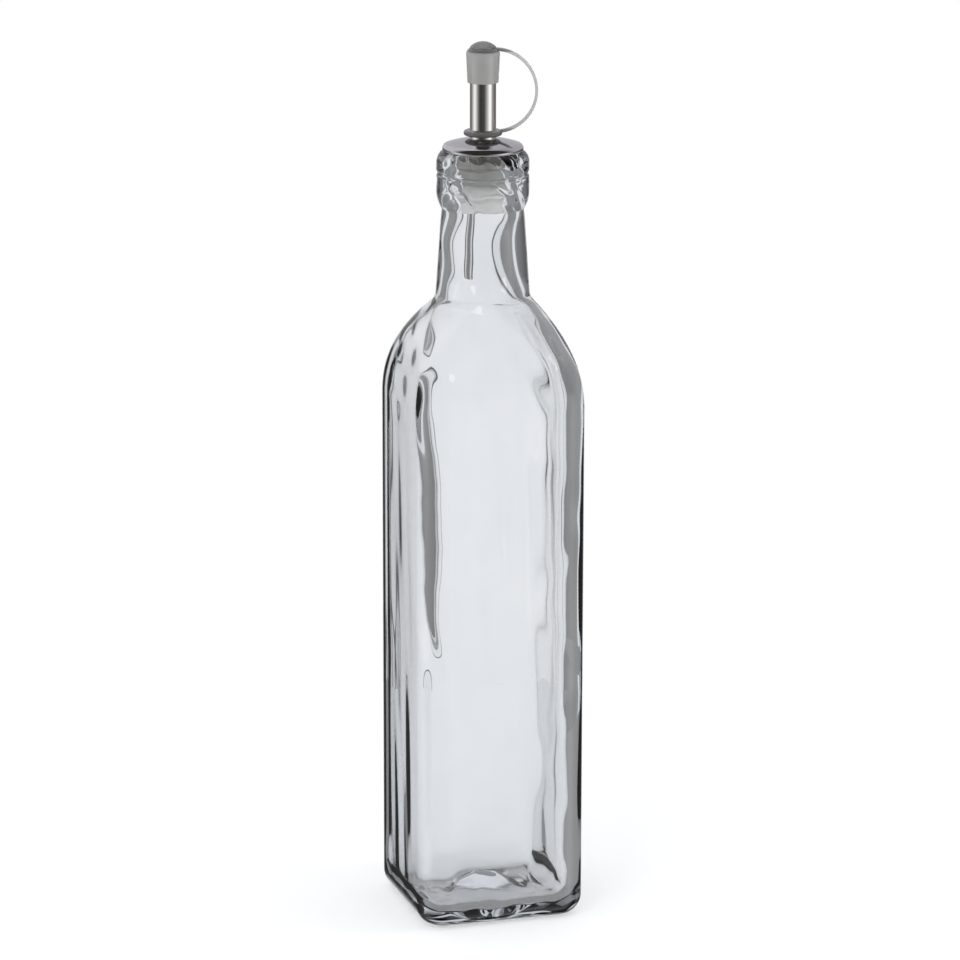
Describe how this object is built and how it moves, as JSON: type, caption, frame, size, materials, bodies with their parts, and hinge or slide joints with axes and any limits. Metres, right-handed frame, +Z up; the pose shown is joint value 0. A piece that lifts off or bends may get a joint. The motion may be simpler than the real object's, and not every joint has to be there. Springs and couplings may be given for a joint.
{
  "type": "square glass oil and vinegar bottle",
  "caption": "Empty square clear glass bottle for oil or vinegar, with a round neck, a ribbed plastic stopper and a capped steel pouring spout.",
  "frame": {"origin": "centre of the base, on the surface that the bottle stands on", "axes": "+Z up along the neck; the flat sides of the body face along +X, -X, +Y and -Y; the cap's strap stands out on the +X side, turned a little towards -Y"},
  "size_m": [0.0578, 0.0578, 0.296],
  "materials": {
    "clear_glass": "clear pressed glass, fire polished outside, slightly uneven inside",
    "stopper_plastic": "soft translucent white plastic, satin",
    "polished_steel": "mirror polished stainless steel",
    "brushed_steel": "stainless steel, brushed round the tube",
    "cap_plastic": "soft translucent grey plastic, satin"
  },
  "bodies": {
    "root": {"bottle_glass": "clear_glass", "stopper": "stopper_plastic", "dome": "polished_steel", "spout": "brushed_steel", "vent_tube": "brushed_steel", "cap": "cap_plastic"}
  },
  "joints": []
}
